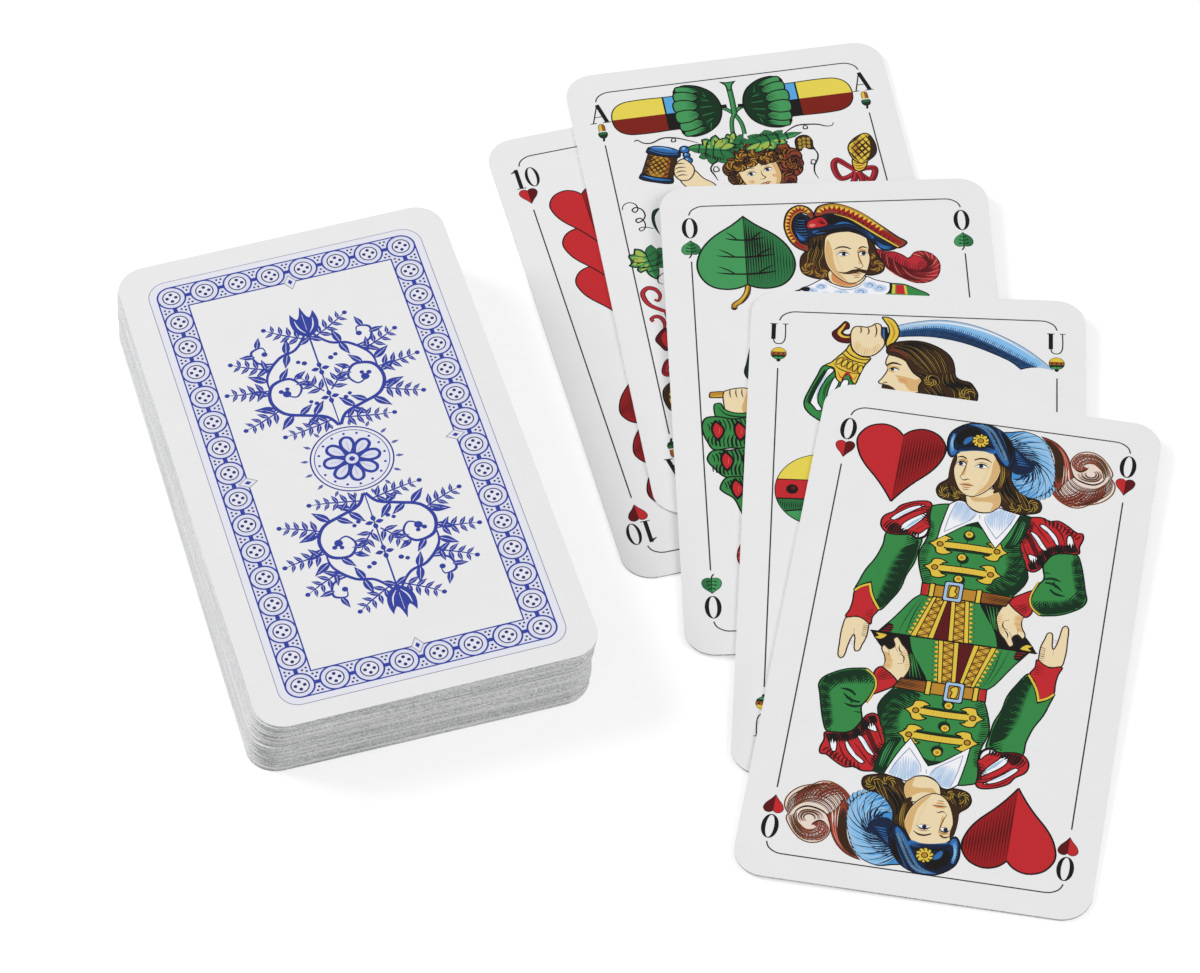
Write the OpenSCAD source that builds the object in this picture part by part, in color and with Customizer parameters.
// Schafkopf deck: 32 cards with German suits, laid out on a table.
// 27 cards lie face down in a squared-up stack, and 5 lie face up beside it as a fan.
// Millimetres, +Z up. The origin is the middle of the stack's underside, +Y runs along the
// stack's long side and the fan lies on the +X side.

/* [Card] */
// Width of a card
card_w = 56; // [45:0.5:70]
// Length of a card
card_l = 100; // [80:0.5:130]
// Thickness of the card stock
card_t = 0.34; // [0.2:0.02:0.6]
// Radius of a card's corners
corner_r = 5; // [1:0.5:10]
// Air left between neighbouring cards, and under the fan's raised cards
air = 0.06; // [0.05:0.01:0.2]

/* [Stack] */
// Cards in the lower packet of the stack, under the place where it was cut
lower_packet = 12; // [2:1:20]
// How far the lower packet's top card sits to the right of the bottom card and behind it
lower_lean = [0.5, 0.1]; // [-3:0.05:3]
// How far the upper packet's lowest card sits to the right of the bottom card and behind it
upper_foot = [0.1, 0.05]; // [-3:0.05:3]
// How far the stack's top card sits to the right of the bottom card and behind it
top_shift = [1.3, 0.45]; // [-3:0.05:3]
// Turn of the top card
top_turn = 0.65; // [-3:0.05:3]
// Most that a card strays from its packet
stray = 0.16; // [0:0.02:0.6]
// Most that a card is turned within its packet
stray_turn = 0.15; // [0:0.05:1]
// Seed of the strays
stray_seed = 11; // [1:1:99]
// Step of the shuffle that orders the stack
shuffle_step = 10; // [2, 4, 5, 7, 8, 10, 11, 13]

/* [Fan] */
// Gap between the stack and the hearts ten, which lies lowest in the fan
fan_gap = 12.8; // [9:0.1:40]
// How far the hearts ten lies behind the middle of the stack
fan_rise = 19.9; // [-40:0.1:40]
// Turn of the hearts ten
hearts_ten_turn = -1.5; // [-15:0.1:5]
// Step from the hearts ten to the acorns ace on it
acorns_ace_step = [12.6, 8.7]; // [-20:0.1:25]
// Turn of the acorns ace
acorns_ace_turn = -6.8; // [-20:0.1:5]
// Step from the acorns ace to the leaves ober
leaves_ober_step = [1.7, -33.3]; // [-40:0.1:20]
// Turn of the leaves ober
leaves_ober_turn = -13.9; // [-25:0.1:5]
// Step from the leaves ober to the bells unter
bells_unter_step = [3.6, -27.9]; // [-40:0.1:20]
// Turn of the bells unter
bells_unter_turn = -19; // [-30:0.1:5]
// Step from the bells unter to the hearts ober, the topmost card
hearts_ober_step = [-1.1, -23.8]; // [-40:0.1:20]
// Turn of the hearts ober
hearts_ober_turn = -26.3; // [-35:0.1:5]

/* [Hidden] */
$fn = 64;
// A card and the air above it
pitch = card_t + air;
// Colour of the bleached stock
stock_colour = [0.93, 0.93, 0.92];

// The deck: every suit with every rank
SUITS = ["acorns", "leaves", "hearts", "bells"];
RANKS = ["seven", "eight", "nine", "ten", "unter", "ober", "king", "ace"];
NODES = [for (suit = SUITS) for (rank = RANKS) str(suit, "_", rank)];
// The fan from the lowest card to the topmost
FAN = ["hearts_ten", "acorns_ace", "leaves_ober", "bells_unter", "hearts_ober"];
// The rest of the deck, shuffled by a fixed step, from the bottom of the stack to its top
REST = [for (name = NODES) if (search([name], FAN) == [[]]) name];
STACK = [for (k = [0 : len(REST) - 1]) REST[k * shuffle_step % len(REST)]];
stack_top = len(STACK) - 1;

// Each packet leans evenly from its lowest card to its top card, and every card but the
// bottom one and the top one strays a little from that
function share(k) = (k - lower_packet) / (stack_top - lower_packet);
function lean(k) =
    k < lower_packet ? lower_lean * k / (lower_packet - 1)
    : upper_foot + (top_shift - upper_foot) * share(k);
strays = rands(-1, 1, 3 * len(STACK), stray_seed);
function strays_by(k) = k == 0 || k == stack_top ? 0 : 1;
function stack_shift(k) = lean(k) + strays_by(k) * stray * [strays[3 * k], strays[3 * k + 1]];
function stack_turn(k) =
    (k < lower_packet ? 0 : top_turn * share(k)) + strays_by(k) * stray_turn * strays[3 * k + 2];

// Places of the fan's cards: each is one step from the card under it
hearts_ten_at = [card_w + fan_gap, fan_rise];
acorns_ace_at = hearts_ten_at + acorns_ace_step;
leaves_ober_at = acorns_ace_at + leaves_ober_step;
bells_unter_at = leaves_ober_at + bells_unter_step;
hearts_ober_at = bells_unter_at + hearts_ober_step;
lying_at = [hearts_ten_at, acorns_ace_at];
lying_turn = [hearts_ten_turn, acorns_ace_turn];
sheaf_at = [leaves_ober_at, bells_unter_at, hearts_ober_at];
sheaf_turn = [leaves_ober_turn, bells_unter_turn, hearts_ober_turn];

// How far a card turned by an angle reaches in front of its middle
function reach(turn) =
    (card_l / 2 - corner_r) * cos(turn) + (card_w / 2 - corner_r) * abs(sin(turn)) + corner_r;

// The three topmost cards lie as one sheaf over the front corner of the ace and tip
// forwards on it, until the first of them comes down to the table or to the hearts ten
tip_y = acorns_ace_at.y - reach(acorns_ace_turn);
tip_z = 2 * pitch;
least_drop = 1;
ten_drop = tip_y - hearts_ten_at.y + reach(hearts_ten_turn);
sheaf_drops = [for (k = [0 : len(sheaf_at) - 1]) tip_y - sheaf_at[k].y + reach(sheaf_turn[k])];
tips = concat(
    [for (k = [0 : len(sheaf_at) - 1]) if (sheaf_drops[k] > least_drop)
        atan((tip_z + k * pitch - air) / sheaf_drops[k])],
    ten_drop > least_drop ? [atan((tip_z - pitch) / ten_drop)] : []);
sheaf_tip = len(tips) > 0 ? min(tips) : 0;

// Outline of a card, drawn round its middle
module card_outline() {
    square([card_w, card_l - 2 * corner_r], center = true);
    square([card_w - 2 * corner_r, card_l], center = true);
    for (x = [-1, 1], y = [-1, 1])
        translate([x * (card_w / 2 - corner_r), y * (card_l / 2 - corner_r)]) circle(corner_r);
}

// One card, with its underside's middle at the origin
module card() {
    color(stock_colour) linear_extrude(card_t) card_outline();
}

// A face-down card of the stack, k levels above the table
module stack_card(k) {
    translate([stack_shift(k).x, stack_shift(k).y, k * pitch]) rotate(stack_turn(k)) card();
}

// A card that lies flat at the bottom of the fan
module lying_card(k) {
    translate([lying_at[k].x, lying_at[k].y, k * pitch]) rotate(lying_turn[k]) card();
}

// A card of the tipped sheaf on top of the fan
module sheaf_card(k) {
    translate([0, tip_y, tip_z]) rotate([sheaf_tip, 0, 0])
        translate([sheaf_at[k].x, sheaf_at[k].y - tip_y, k * pitch]) rotate(sheaf_turn[k]) card();
}

for (k = [0 : stack_top]) stack_card(k);
for (k = [0 : len(lying_at) - 1]) lying_card(k);
for (k = [0 : len(sheaf_at) - 1])
    sheaf_card(k);
